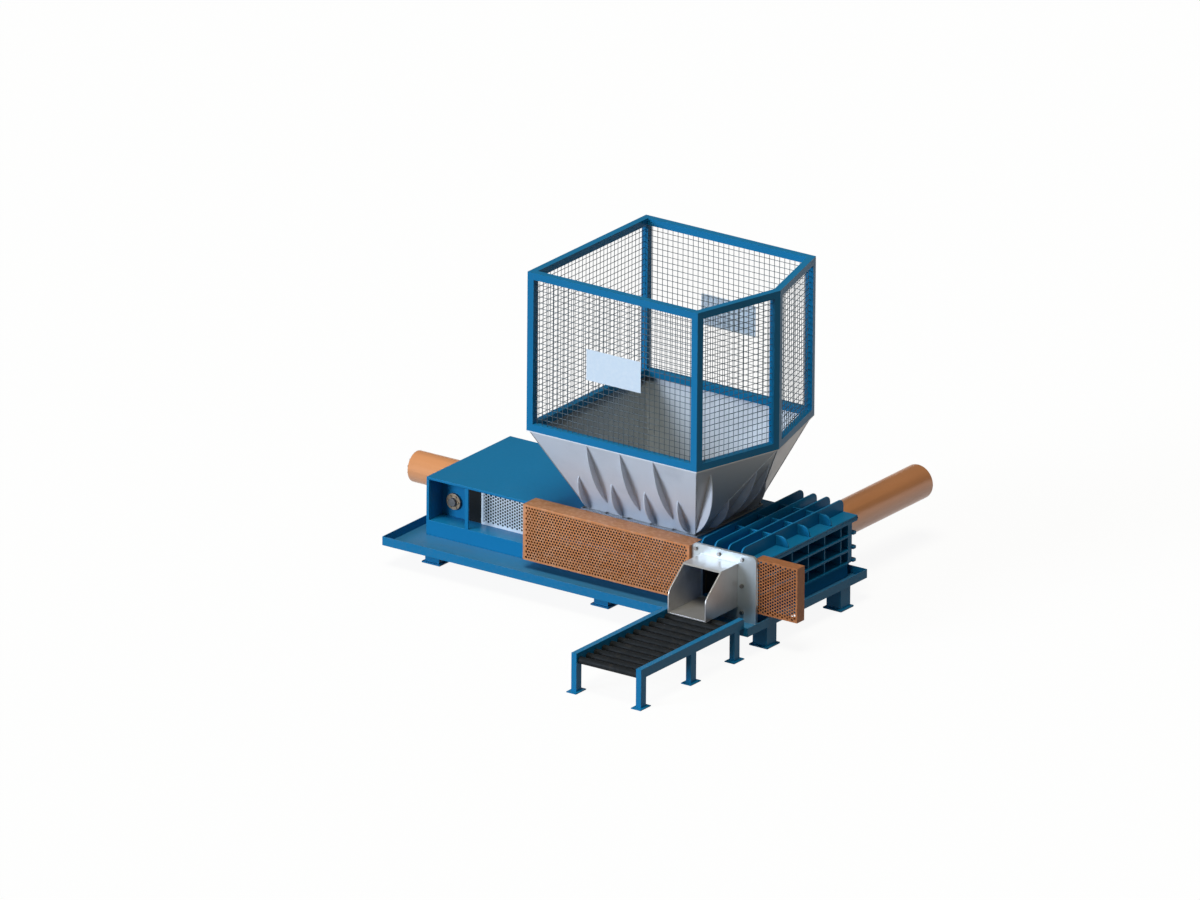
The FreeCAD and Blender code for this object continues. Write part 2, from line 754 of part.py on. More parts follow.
# ---- perforated guards ---------------------------------------------------------------------------
def gate_cylinder_guard():
    x0, x1 = guard_x0, outlet_x0 - guard_end_gap
    z0, z1 = floor_level - guard_below_floor, roof_top + guard_above_roof
    sheet = guard_sheet
    front = perforated(Vector(x0, guard_y0, z0), X, Z, x1 - x0, z1 - z0, sheet, True)
    top = block(x0, x1, guard_y0 + sheet, housing_y0, z1 - sheet, z1)
    bottom = block(x0, x1, guard_y0 + sheet, housing_y0, z0, z0 + sheet)
    left = block(x0, x0 + sheet, guard_y0 + sheet, housing_y0, z0 + sheet, z1 - sheet)
    right = block(x1 - sheet, x1, guard_y0 + sheet, outlet_y0, z0 + sheet, z1 - sheet)
    lip_top = block(x0 + sheet, gate_x0 - gate_rail_past - guard_lip_gap, housing_y0 - sheet,
                    housing_y0, z1 - sheet - guard_lip, z1 - sheet)
    lip_bottom = block(x0 + sheet, x1, housing_y0 - sheet, housing_y0, z0 + sheet,
                       floor_level - gate_rail - guard_lip_gap)
    surround = joined([top, bottom, left, right, lip_top, lip_bottom])
    return [front, surround]


def gate_end_guard():
    x0, x1 = box_x1 + end_guard_gap, end_guard_x1
    z0, z1 = floor_level - end_guard_below_floor, roof_top + end_guard_above_roof
    sheet = guard_sheet
    y1 = box_y0 + end_guard_depth
    front = perforated(Vector(x0, box_y0, z0), X, Z, x1 - x0, z1 - z0, sheet, False)
    top = block(x0, x1, box_y0 + sheet, y1, z1 - sheet, z1)
    bottom = block(x0, x1, box_y0 + sheet, y1, z0, z0 + sheet)
    right = block(x1 - sheet, x1, box_y0 + sheet, y1, z0 + sheet, z1 - sheet)
    return [front, joined([top, bottom, right])]


# ---- hopper --------------------------------------------------------------------------------------
def cage_outline(z, inset):
    """The five corners of the cage and the hopper's rim, drawn inset."""
    far = cage_x1 + cage_apex
    lean = math.atan2(cage_apex, (cage_y1 - cage_y0) / 2)
    side_x = cage_x1 - inset * math.tan((math.pi / 2 - lean) / 2)
    return [Vector(cage_x0 + inset, cage_y0 + inset, z), Vector(side_x, cage_y0 + inset, z),
            Vector(far - inset / math.cos(lean), (cage_y0 + cage_y1) / 2, z),
            Vector(side_x, cage_y1 - inset, z), Vector(cage_x0 + inset, cage_y1 - inset, z)]


def funnel(rim_inset, throat_inset):
    """The hopper's faceted body, from the throat at the roof to the five-sided rim."""
    rim = cage_outline(cage_z0, rim_inset)
    x0, x1 = feed_x0 + throat_inset, feed_x1 - throat_inset
    y0, y1 = throat_y0 + throat_inset, throat_y1 - throat_inset
    throat = [Vector(x0, y0, roof_top), Vector(x1, y0, roof_top), Vector(x1, y1, roof_top),
              Vector(x0, y1, roof_top)]
    faces = [rim, throat[::-1],
             [throat[0], throat[1], rim[1], rim[0]],
             [throat[1], rim[2], rim[1]],
             [throat[1], throat[2], rim[2]],
             [throat[2], rim[3], rim[2]],
             [throat[2], throat[3], rim[4], rim[3]],
             [throat[3], throat[0], rim[0], rim[4]]]
    return facet_solid(faces)


def hopper_shell():
    rim_z0 = cage_z0 - hopper_rim_thick
    flange = block(feed_x0 - hopper_flange, feed_x1 + hopper_flange, throat_y0 - hopper_flange,
                   throat_y1 + hopper_flange, roof_top, roof_top + hopper_flange_thick)
    rim = prism(cage_outline(rim_z0, 0), Z * hopper_rim_thick)
    rim = rim.cut(prism(cage_outline(rim_z0, hopper_rim), Z * hopper_rim_thick))
    body = joined([funnel(hopper_tuck, -hopper_sheet), flange, rim])
    holes = [bar(hopper_bolt[0] + bolt_play, spot - Z * hopper_flange_thick, Z,
                 hopper_flange_thick) for spot in hopper_bolt_spots()]
    return [without(body.cut(funnel(hopper_tuck + hopper_sheet_level, 0)), holes)]


def hopper_bolt_spots():
    past_x, past_y = [hopper_flange - inset for inset in hopper_bolt_inset]
    x0, x1 = feed_x0 - past_x, feed_x1 + past_x
    y0, y1 = throat_y0 - past_y, throat_y1 + past_y
    z = roof_top + hopper_flange_thick
    spots = []
    for x in spread(x0, x1, hopper_bolts):
        spots += [Vector(x, y0, z), Vector(x, y1, z)]
    return spots


def hopper_ribs():
    """Crescent blades: long ones hung from the rim, short ones up from the flange, one at a corner."""
    low_z, high_z = roof_top + hopper_flange_thick, cage_z0 - hopper_rim_thick
    rim = cage_outline(cage_z0, hopper_tuck)
    apex = rim[2]
    skin = -hopper_sheet
    ribs = []

    def blade(foot, top, ends, outward, across, depth=hopper_rib_depth):
        """One crescent on the line from foot to top, between two shares of the clear height."""
        low, high = [foot + (top - foot) * ((low_z + (high_z - low_z) * share - roof_top)
                                            / hopper_height) for share in ends]
        ribs.append(crescent(low, high, outward, across, depth))

    middle = cage_mid_x + hopper_rib_middle
    for side_y, rim_y, out in ((throat_y0 + skin, rim[0].y, -1), (throat_y1 - skin, rim[4].y, 1)):
        foot, top = Vector(middle, side_y, roof_top), Vector(middle, rim_y, cage_z0)
        outward = Vector(0, out * hopper_height, -abs(rim_y - side_y)).normalize()
        for k in (-1, 0, 1):
            place = X * (k * hopper_rib_pitch)
            blade(foot + place, top + place, long_blade, outward, X)
        for k in (-1.5, -0.5, 0.5, 1.5):
            place = X * (k * hopper_rib_pitch - hopper_short_shift)
            blade(foot + place, top + place, short_blade, outward, X)

    foot = Vector(feed_x0 + skin, centre_y, roof_top)
    top = Vector(rim[0].x, centre_y, cage_z0)
    outward = Vector(-hopper_height, 0, rim[0].x - foot.x).normalize()
    for k, ends in ((-1, long_blade), (-0.5, short_blade), (0, long_blade), (0.5, short_blade),
                    (1, long_blade)):
        place = Y * (k * hopper_rib_pitch)
        blade(foot + place, top + place, ends, outward, Y)

    foot = Vector(feed_x1 - skin, centre_y, roof_top)
    top = Vector(apex.x, centre_y, cage_z0)
    outward = Vector(hopper_height, 0, foot.x - apex.x).normalize()
    for k, reach in right_blades:
        place = Y * (k * right_blade_pitch)
        blade(foot + place, top + place, (0, reach), outward, Y)

    foot = Vector(feed_x1 - skin, throat_y0 + skin, roof_top)
    side = apex - rim[1]
    top = rim[1] + side * corner_blade_lean
    line = (top - foot).normalize()
    outward = side.cross(line).normalize()
    blade(foot, top, corner_blade, outward, line.cross(outward), corner_blade_depth)
    body = funnel(hopper_tuck, skin)
    return [rib.cut(body).Solids[0] for rib in ribs]


def hopper_flange_bolts():
    return [hex_bolt(spot, Z, hopper_flange_thick, hopper_bolt, hopper_washer)
            for spot in hopper_bolt_spots()]


# ---- feed cage -----------------------------------------------------------------------------------
def cage_sides():
    """Start corner, direction and length of the five sides."""
    corners = cage_outline(0, 0)
    sides = []
    for k, corner in enumerate(corners):
        along = corners[(k + 1) % len(corners)] - corner
        sides.append((corner, Vector(along).normalize(), along.Length))
    return sides


def cage_frame():
    """Corner posts the full height, with a lower and an upper rail between each two."""
    ring = prism(cage_outline(cage_z0, 0), Z * cage_height)
    ring = ring.cut(prism(cage_outline(cage_z0, cage_tube), Z * cage_height))
    slabs = []
    rails = []
    for corner, along, length in cage_sides():
        inward = Z.cross(along)
        start = corner + along * cage_tube + Z * cage_z0
        end = corner + along * (length - cage_tube) + Z * cage_z0
        past = inward * cage_tube
        slabs.append(prism([start - past, end - past, end + past * 2, start + past * 2],
                           Z * cage_height))
        for lift in (0, cage_height - cage_tube):
            rail = prism([start, end, end + past, start + past], Z * cage_tube)
            rail.translate(Z * lift)
            rails.append(rail)
    return without(ring, slabs).Solids + rails


def mesh_panel(corner, along, length):
    """Welded wires in two layers, centred in the frame's depth."""
    inward = Z.cross(along)
    z0, height = cage_z0 + cage_tube, cage_height - 2 * cage_tube
    clear = length - 2 * cage_tube
    start = corner + along * cage_tube + Z * z0
    upright_layer = inward * (cage_tube / 2 - mesh_wire / 2)
    level_layer = inward * (cage_tube / 2 + mesh_wire / 2)
    uprights = int(clear / mesh_pitch)
    levels = int(height / mesh_pitch)
    first_u = (clear - (uprights - 1) * mesh_pitch) / 2
    first_z = (height - (levels - 1) * mesh_pitch) / 2
    wires = []
    for k in range(uprights):
        wires.append(bar(mesh_wire, start + upright_layer + along * (first_u + k * mesh_pitch), Z,
                         height))
    for k in range(levels):
        wires.append(bar(mesh_wire, start + level_layer + Z * (first_z + k * mesh_pitch), along,
                         clear))
    return wires


def sign_boards():
    z0 = (cage_z0 + cage_z1) / 2 - board_height / 2
    x0 = cage_mid_x - board_length / 2
    front_y = cage_y0 + cage_tube / 2 - mesh_wire
    back_y = cage_y1 - cage_tube / 2 + mesh_wire
    return [block(x0, x0 + board_length, front_y - board_thick, front_y, z0, z0 + board_height),
            block(x0, x0 + board_length, back_y, back_y + board_thick, z0, z0 + board_height)]


# ---- roller conveyor -----------------------------------------------------------------------------
def roller_places():
    return [conveyor_y0 + roller_margin[0] + k * roller_pitch for k in range(roller_count)]


def conveyor_side(x0, inner_x):
    """One side frame: a box-section rail on three legs with foot plates."""
    y0, y1 = conveyor_y0, conveyor_y0 + conveyor_length
    rail = block(x0, x0 + rail_width, y0, y1, rail_top - rail_height, rail_top)
    hollow = block(x0 + rail_wall, x0 + rail_width - rail_wall, y0 + rail_wall, y1 - rail_wall,
                   rail_top - rail_height + rail_wall, rail_top - rail_wall)
    plate_x, plate_y, plate_z = leg_plate
    mid_x = x0 + rail_width / 2
    legs = []
    for start in (0, leg_middle, conveyor_length - leg_inset - leg_depth):
        leg_y = y0 + start
        mid_y = leg_y + leg_depth / 2
        legs.append(block(x0, x0 + rail_width, leg_y, leg_y + leg_depth, plate_z,
                          rail_top - rail_height))
        legs.append(block(mid_x - plate_x / 2, mid_x + plate_x / 2, mid_y - plate_y / 2,
                          mid_y + plate_y / 2, 0, plate_z))
    holes = [bar(roller_shaft, Vector(inner_x - rail_wall, y, roller_axis_z), X, 2 * rail_wall)
             for y in roller_places()]
    return without(joined([rail] + legs), [hollow] + holes)


def conveyor_frame():
    right_x0 = conveyor_x1 - rail_width
    return [conveyor_side(conveyor_x0, conveyor_x0 + rail_width), conveyor_side(right_x0, right_x0)]


def roller_shafts():
    start = conveyor_x0 + rail_width - roller_shaft_grip
    length = conveyor_width - 2 * rail_width + 2 * roller_shaft_grip
    return [bar(roller_shaft, Vector(start, y, roller_axis_z), X, length) for y in roller_places()]


def roller(y):
    """A rolling tube closed at each end by a bearing that turns on the fixed shaft."""
    x0 = conveyor_x0 + rail_width + roller_end_gap
    length = conveyor_width - 2 * rail_width - 2 * roller_end_gap
    start = Vector(x0, y, roller_axis_z)
    inner = roller_diameter - 2 * roller_wall
    solids = [tube(roller_diameter, inner, start, X, length)]
    for offset in (roller_bearing_inset, length - roller_bearing_inset - roller_bearing):
        solids.append(tube(inner, roller_shaft + 2 * run_gap, start + X * offset, X, roller_bearing))
    return solids


# ---- writing the pieces --------------------------------------------------------------------------
os.makedirs("parts", exist_ok=True)

pieces = {
    "drip_tray": drip_tray(),
    "support_feet": support_feet(),
    "housing_front_wall": housing_front_wall(),
    "housing_back_wall": housing_back_wall(),
    "housing_roof": housing_roof(),
    "housing_end_plate": housing_end_plate(),
    "channel_walls": channel_walls(),
    "channel_floor": channel_floor(),
    "vent_panel": vent_panel(),
    "port_flange": port_flange(),
    "shear_blade": shear_blade(),
    "main_cylinder_barrel": main_cylinder_barrel(),
    "main_cylinder_gland": main_cylinder_gland(),
    "main_piston": main_piston(),
    "main_rod": main_rod(),
    "main_ram": main_ram(),
    "box_top_plate": box_top_plate(),
    "box_right_wall": box_right_wall(),
    "box_left_wall": box_left_wall(),
    "box_back_wall": [box_back_wall_solid()],
    "box_top_ribs": box_top_ribs(),
    "box_side_ribs": box_side_ribs(),
    "cross_cylinder_barrel": cross_cylinder_barrel(),
    "cross_cylinder_gland": cross_cylinder_gland(),
    "cross_piston": cross_piston(),
    "cross_rod": cross_rod(),
    "cross_ram": cross_ram(),
    "gate_plate": gate_plate(),
    "gate_cylinder": gate_cylinder(),
    "gate_rod": gate_rod(),
    "gate_rails": gate_rails(),
    "outlet_plate": outlet_plate(),
    "outlet_chute": outlet_chute(),
    "flange_bolts": outlet_flange_bolts() + hopper_flange_bolts(),
    "gate_cylinder_guard": gate_cylinder_guard(),
    "gate_end_guard": gate_end_guard(),
    "hopper_shell": hopper_shell(),
    "hopper_ribs": hopper_ribs(),
    "cage_frame": cage_frame(),
    "sign_boards": sign_boards(),
    "conveyor_frame": conveyor_frame(),
    "roller_shafts": roller_shafts(),
}
panel_names = ("front", "right_front", "right_back", "back", "left")
for panel_name, (corner, along, length) in zip(panel_names, cage_sides()):
    pieces["cage_mesh_" + panel_name] = mesh_panel(corner, along, length)
for number, y in enumerate(roller_places(), 1):
    pieces["roller_%02d" % number] = roller(y)

for name, shapes in pieces.items():
    save(name, shapes)
print(len(pieces), "nodes; origin", origin)
print("travels: main ram", main_stroke, "cross ram", cross_stroke, "gate", gate_stroke)
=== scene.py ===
import json
import math

import bmesh
import bpy
from mathutils import Matrix, Vector


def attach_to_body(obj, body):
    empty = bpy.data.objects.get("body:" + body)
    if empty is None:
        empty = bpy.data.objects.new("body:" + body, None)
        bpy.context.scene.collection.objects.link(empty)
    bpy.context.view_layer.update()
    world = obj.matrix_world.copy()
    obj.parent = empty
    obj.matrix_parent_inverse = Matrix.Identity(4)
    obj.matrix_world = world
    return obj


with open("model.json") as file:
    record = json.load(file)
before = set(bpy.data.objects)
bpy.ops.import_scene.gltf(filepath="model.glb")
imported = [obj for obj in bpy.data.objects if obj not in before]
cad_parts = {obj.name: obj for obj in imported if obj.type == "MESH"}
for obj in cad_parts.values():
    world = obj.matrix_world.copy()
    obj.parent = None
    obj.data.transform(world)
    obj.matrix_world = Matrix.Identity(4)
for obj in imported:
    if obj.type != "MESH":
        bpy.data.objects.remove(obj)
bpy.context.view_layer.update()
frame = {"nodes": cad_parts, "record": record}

NODES = frame["nodes"]

MM = 0.001
CREASE = math.radians(35)       # edges sharper than this stay crisp or are rounded
FLAT = math.radians(0.5)        # faces that differ by less than this lie in one plane

# The layout's numbers are mm from the drip tray's corner. This is the row's origin in it.
LAYOUT_ORIGIN = Vector((1760.5, 811.25, 0))

# ---- colours, linear -----------------------------------------------------------------------------
BLUE = (0.006, 0.178, 0.385, 1)
BLUE_DEEP = (0.006, 0.158, 0.340, 1)
BLUE_CHIP = (0.10, 0.20, 0.30, 1)
COPPER = (0.66, 0.265, 0.105, 1)
COPPER_DEEP = (0.55, 0.20, 0.072, 1)
COPPER_CHIP = (0.80, 0.52, 0.36, 1)
BARREL = (0.78, 0.335, 0.14, 1)
BARREL_DEEP = (0.67, 0.27, 0.108, 1)
# painted shade: a darker copy of the guards' copper, used for the end guard
COPPER_SHADED = (0.44, 0.165, 0.062, 1)
COPPER_SHADED_DEEP = (0.36, 0.125, 0.044, 1)
HOPPER_OUT = (0.80, 0.83, 0.89, 1)
HOPPER_OUT_DARK = (0.58, 0.61, 0.67, 1)
# painted shade: a dull dark grey for the hopper's outside faces turned toward +X
HOPPER_SHADED_SIDE = (0.50, 0.47, 0.43, 1)
# painted shade: a darker copy of the sheet for the hopper's inside
HOPPER_IN_SHADED = (0.38, 0.41, 0.44, 1)
HOPPER_IN_SHADED_DARK = (0.28, 0.30, 0.32, 1)
BLADE = (0.70, 0.73, 0.79, 1)
BLADE_DARK = (0.52, 0.54, 0.58, 1)
SHEET = (0.57, 0.635, 0.67, 1)
SHEET_DARK = (0.48, 0.51, 0.53, 1)
VENT = (0.88, 0.95, 0.99, 1)
CHUTE = (0.58, 0.56, 0.55, 1)
CHUTE_DARK = (0.38, 0.36, 0.34, 1)
RAM = (0.060, 0.055, 0.050, 1)
LINER = (0.050, 0.038, 0.028, 1)
WIRE = (0.085, 0.12, 0.145, 1)
ZINC = (0.34, 0.33, 0.32, 1)
TAN_BOLT = (0.46, 0.34, 0.22, 1)
PORT_STEEL = (0.19, 0.185, 0.18, 1)
MACHINED = (0.42, 0.42, 0.43, 1)
# near black: oil on the port's cut marks, and painted shade on the gate's parts behind the guard
OIL_BLACK_AND_SHADE = (0.022, 0.022, 0.024, 1)
CHROME = (0.80, 0.80, 0.82, 1)
RUBBER = (0.009, 0.011, 0.013, 1)
WELD = (0.46, 0.47, 0.49, 1)
CAP = (0.30, 0.30, 0.31, 1)
BOARD = (0.70, 0.80, 0.90, 1)
BOARD_DEEP = (0.658, 0.752, 0.846, 1)
DUST = (0.20, 0.21, 0.21, 1)
# a pale bluish tint for level faces
PALE_LEVEL_TINT = (0.50, 0.55, 0.60, 1)
OIL = (0.10, 0.075, 0.05, 1)
# painted shade: the black laid on walls that lie in shade behind the guard's and the vent's holes
SHADE_BLACK = (0.006, 0.008, 0.009, 1)
WHITE = (1, 1, 1, 1)
FLOOR_BOUNCE = (0.12, 0.12, 0.115, 1)

# ---- places and sizes in the layout, mm ----------------------------------------------------------
MAIN_AXIS = (996, 491)          # Y and Z of the main cylinder's axis
MAIN_TAIL_X = -365
MAIN_COLLAR_X = 148
MAIN_RADIUS = 131.5
CROSS_AXIS = (3135, 491)        # X and Z of the cross cylinder's axis
CROSS_TAIL_Y = 3105
CROSS_COLLAR_Y = 1708
CROSS_RADIUS = 146.5
PORT = (297, 574, 452)          # middle of the port's outer face
PORT_HUB_RADIUS = 36.5          # the bolt heads stand outside it

# The hopper's corners in X and Y, then its folded edges as throat corner and rim corner.
HOPPER_THROAT = ((1634, 565), (2696, 565), (2696, 1427), (1634, 1427))
HOPPER_RIM = ((1306, 195), (2953.3, 195), (3180.5, 1016), (2953.3, 1837), (1306, 1837))
HOPPER_EDGES = ((0, 0), (1, 1), (1, 2), (2, 2), (2, 3), (3, 4))
THROAT_Z = 688
THROAT_WELD_Z = 700
RIM_Z = 1406


def in_row(x, y, z):
    """A place given in the layout's millimetres, in the row frame's metres."""
    return (Vector((x, y, z)) - LAYOUT_ORIGIN) * MM


# ---- materials -----------------------------------------------------------------------------------
class Socket:
    """A shader value that can be used in Python expressions."""

    def __init__(self, finish, output):
        self.finish = finish
        self.output = output

    def with_math(self, operation, first, second=None):
        inputs = {0: first} if second is None else {0: first, 1: second}
        return self.finish.make("ShaderNodeMath", {"operation": operation}, inputs)

    def __add__(self, other):
        return self.with_math("ADD", self, other)

    def __radd__(self, other):
        return self.with_math("ADD", other, self)

    def __sub__(self, other):
        return self.with_math("SUBTRACT", self, other)

    def __rsub__(self, other):
        return self.with_math("SUBTRACT", other, self)

    def __mul__(self, other):
        return self.with_math("MULTIPLY", self, other)

    def __rmul__(self, other):
        return self.with_math("MULTIPLY", other, self)

    def __pow__(self, other):
        return self.with_math("POWER", self, other)

    def larger(self, other):
        return self.with_math("MAXIMUM", self, other)


class Finish:
    """A material on one Principled shader, with one method that makes any other node."""

    def __init__(self, name, **fixed):
        self.material = bpy.data.materials.new(name)
        self.material.use_nodes = True
        self.tree = self.material.node_tree
        self.shader = self.tree.nodes["Principled BSDF"]
        self.place = self.make("ShaderNodeTexCoord", out="Object")
        for socket_name, value in fixed.items():
            self.feed(socket_name.replace("_", " "), value)

    def make(self, kind, settings=None, inputs=None, out=0):
        node = self.tree.nodes.new(kind)
        for name, value in (settings or {}).items():
            setattr(node, name, value)
        for name, value in (inputs or {}).items():
            self.connect(node.inputs[name], value)
        return Socket(self, node.outputs[out])

    def connect(self, target, value):
        if isinstance(value, Socket):
            self.tree.links.new(value.output, target)
        else:
            target.default_value = value

    def feed(self, name, value):
        self.connect(self.shader.inputs[name], value)

    def noise(self, scale, detail, roughness=0.5, stretch=None):
        place = self.place
        if stretch:
            place = self.make("ShaderNodeMapping", None, {"Vector": place, "Scale": stretch})
        return self.make("ShaderNodeTexNoise", None,
                         {"Vector": place, "Scale": scale, "Detail": detail,
                          "Roughness": roughness})

    def step(self, value, low, high, start=0.0, end=1.0):
        return self.make("ShaderNodeMapRange", {"interpolation_type": "SMOOTHSTEP"},
                         {"Value": value, "From Min": low, "From Max": high, "To Min": start,
                          "To Max": end})

    def mix(self, factor, first, second):
        return self.make("ShaderNodeMix", {"data_type": "RGBA"}, {0: factor, 6: first, 7: second},
                         out=2)

    def distance(self, value, middle):
        return self.make("ShaderNodeMath", {"operation": "ABSOLUTE"}, {0: value - middle})

    def part_of(self, vector, axis):
        return self.make("ShaderNodeSeparateXYZ", None, {0: vector}, out=axis)

    def facing(self, axis):
        """How much the surface faces along X, Y or Z in the row frame."""
        return self.part_of(self.make("ShaderNodeNewGeometry", out="Normal"), axis)

    def edges(self, width):
        """Near 1 on a sharp outer edge and 0 on open faces."""
        hidden = self.make("ShaderNodeAmbientOcclusion",
                           {"inside": True, "only_local": True, "samples": 4},
                           {"Distance": width}, out="AO")
        return self.step(1 - hidden, 0.35, 0.75)

    def bump(self, height, strength, distance):
        normal = self.make("ShaderNodeBump", None,
                           {"Strength": strength, "Distance": distance, "Height": height})
        self.feed("Normal", normal)


def enamel(name, light, deep, chip, metallic=0.0, gloss=0.15, roughness=0.36, oil=0.0, wear=1.0,
           level_tint=None, painted_shade=None):
    """Sprayed paint: slow drift of tone, orange peel, faint scuffs, and edges lightened in patches
    as wear and painted highlight.

    Oil is the share of dark streaks on level faces. The level tint is a share and a colour laid
    over them; on the copper guards it is oil film that also darkens their tops as painted shade.
    The painted shade argument gives the middle in X and Z of a rectangle painted black as shade,
    then half its sizes, in metres.
    """
    paint = Finish(name, Metallic=metallic, Specular_IOR_Level=gloss)
    drift = paint.step(paint.noise(0.8, 3), 0.35, 0.70)
    tone = paint.mix(drift * 0.85 + paint.noise(40, 2) * 0.15, light, deep)
    level = paint.step(paint.facing(2), 0.85, 1.0)
    dusty = level * paint.step(paint.noise(5, 6, 0.62), 0.50, 0.85)
    scuffs = paint.step(paint.noise(9, 5, 0.6, (1, 1, 7)), 0.68, 0.82)
    edge_wear_and_highlight = paint.edges(5 * MM) * paint.step(paint.noise(30, 4, 0.6), 0.40, 0.70)
    tone = paint.mix((dusty * 0.05 + scuffs * 0.06) * wear, tone, DUST)
    if oil:
        streaks = paint.step(paint.noise(3.2, 6, 0.62, (0.35, 1, 1)), 0.48, 0.78)
        tone = paint.mix(level * streaks * oil, tone, OIL)
    # level faces tinted: on the copper guards oil film and painted shade on their tops, on the tray
    # a pale tint
    if level_tint:
        thickness, shade = level_tint
        tone = paint.mix(level * thickness, tone, shade)
    # painted shade: a soft-edged rectangle turned black, standing for the shade seen through holes
    if painted_shade:
        across, height = paint.part_of(paint.place, 0), paint.part_of(paint.place, 2)
        x, z, reach_x, reach_z = painted_shade
        fade = 20 * MM
        shade_mask = (paint.step(paint.distance(across, x), reach_x - fade, reach_x, 1, 0)
                * paint.step(paint.distance(height, z), reach_z - fade, reach_z, 1, 0))
        tone = paint.mix(shade_mask, tone, SHADE_BLACK)
    # edges lightened toward the chip colour in patches: edge wear and painted highlight along edges
    paint.feed("Base Color", paint.mix(edge_wear_and_highlight * 0.7 * wear, tone, chip))
    paint.feed("Roughness", roughness + dusty * 0.14 + scuffs * 0.12 + paint.noise(25, 2) * 0.06)
    paint.bump(paint.noise(240, 2), 0.06, 1 * MM)
    return paint.material


def hopper_steel():
    """Satin sheet outside; inside it is painted darker as shade and is smoother, with smears and
    scrapes.
    """
    sheet = Finish("satin_hopper_sheet", Specular_IOR_Level=0.4)
    inside = sheet.step(sheet.facing(2), 0.05, 0.20)
    grain = sheet.noise(60, 3, 0.6, (1, 1, 22))
    smears = sheet.step(sheet.noise(2.2, 5, 0.6), 0.40, 0.72)
    scrapes = sheet.step(sheet.noise(26, 5, 0.65, (1, 1, 0.10)), 0.56, 0.74)
    outer = sheet.mix(smears * 0.40 + grain * 0.25, HOPPER_OUT, HOPPER_OUT_DARK)
    # painted shade: outside faces turned toward +X are mixed toward a dull dark grey
    outer = sheet.mix(sheet.step(sheet.facing(0), 0.3, 0.6) * 0.85, outer, HOPPER_SHADED_SIDE)
    # painted shade: the inside is a darker copy of the sheet, with smears and scrapes as real wear
    inner = sheet.mix(smears * 0.45 + scrapes * 0.5, HOPPER_IN_SHADED, HOPPER_IN_SHADED_DARK)
    sheet.feed("Base Color", sheet.mix(inside, outer, inner))
    sheet.feed("Metallic", 0.22 + inside * 0.18)
    sheet.feed("Roughness", 0.42 + (grain - 0.5) * 0.16 + smears * 0.06 - inside * 0.12)
    sheet.bump(grain * 0.5 + scrapes * inside * 0.5, 0.06, 0.8 * MM)
    return sheet.material


def brushed(name, light, dark, roughness, stretch, metallic, relief=0.06):
    """Bare sheet with a fine grain along one direction, smears, slow tone changes and a painted
    highlight along its edges.
    """
    sheet = Finish(name, Metallic=metallic)
    grain = sheet.noise(60, 3, 0.6, stretch)
    smears = sheet.step(sheet.noise(2.2, 5, 0.6), 0.42, 0.70)
    # painted highlight: every sharp edge is lightened toward the sheet's light colour
    edge_wear_and_highlight = sheet.edges(4 * MM)
    tone = sheet.mix(smears * 0.45 + grain * 0.30, light, dark)
    sheet.feed("Base Color", sheet.mix(edge_wear_and_highlight * 0.5, tone, light))
    sheet.feed("Roughness", roughness + (grain - 0.5) * 0.18 + smears * 0.08)
    sheet.bump(grain, relief, 0.8 * MM)
    return sheet.material


def fine_marks(metal, roughness, amount):
    """Gives the metal small cut marks in its gloss and relief; returns where they show dark."""
    cuts = metal.noise(90, 4, 0.6)
    metal.feed("Roughness", roughness + (cuts - 0.5) * amount)
    metal.bump(cuts, 0.05, 0.5 * MM)
    return metal.step(cuts, 0.35, 0.75)


def plain_metal(name, colour, roughness, metallic=1.0, marks=0.12):
    """Small hardware: cut or plated metal with fine marks."""
    metal = Finish(name, Metallic=metallic)
    dark = tuple(c * 0.72 for c in colour[:3]) + (1,)
    metal.feed("Base Color", metal.mix(fine_marks(metal, roughness, marks), colour, dark))
    return metal.material


def port_metal():
    """A dark oiled flange whose ring of bolt heads is plated tan."""
    metal = Finish("port_flange_steel", Metallic=0.4)
    port = in_row(*PORT)
    across, depth, height = [metal.part_of(metal.place, axis) for axis in range(3)]
    reach = ((across - port.x) * (across - port.x) + (height - port.z) * (height - port.z)) ** 0.5
    hub = PORT_HUB_RADIUS * MM
    heads = (metal.step(reach, hub - 0.5 * MM, hub + 0.5 * MM)
             * metal.step(port.y - depth, -1 * MM, 0.0))
    tone = metal.mix(heads, PORT_STEEL, TAN_BOLT)
    metal.feed("Base Color", metal.mix(fine_marks(metal, 0.38, 0.12) * 0.3, tone, OIL_BLACK_AND_SHADE))
    return metal.material


def roller_coating():
    """Dark coated tube, rubbed in bands where the bales run, with a little brown dust."""
    coat = Finish("dark_roller_coating", Specular_IOR_Level=0.15)
    bands = coat.noise(14, 4, 0.6, (1, 0.15, 0.15))
    dust = coat.step(coat.noise(22, 5, 0.65), 0.50, 0.80)
    coat.feed("Base Color", coat.mix(dust * 0.22, RUBBER, OIL))
    coat.feed("Roughness", coat.step(bands, 0.35, 0.7, 0.50, 0.66) + dust * 0.10)
    coat.bump(bands, 0.04, 1 * MM)
    return coat.material


def blue_with_painted_shade(name, x0, x1, z0, z1):
    """Blue enamel painted black as shade inside one rectangle, given in the layout's mm."""
    middle = in_row((x0 + x1) / 2, 0, (z0 + z1) / 2)
    reach = ((x1 - x0) / 2 * MM, (z1 - z0) / 2 * MM)
    return enamel(name, BLUE, BLUE_DEEP, BLUE_CHIP, painted_shade=(middle.x, middle.z) + reach)


blue_enamel = enamel("blue_enamel", BLUE, BLUE_DEEP, BLUE_CHIP)
# painted shade: the housing's front wall behind the guard and the channel walls behind the vent are
# black inside a rectangle
behind_guard = blue_with_painted_shade("blue_enamel_behind_guard", 1216, 2870, 262, 745)
behind_vent = blue_with_painted_shade("blue_enamel_behind_vent", 425, 1290, 290, 690)
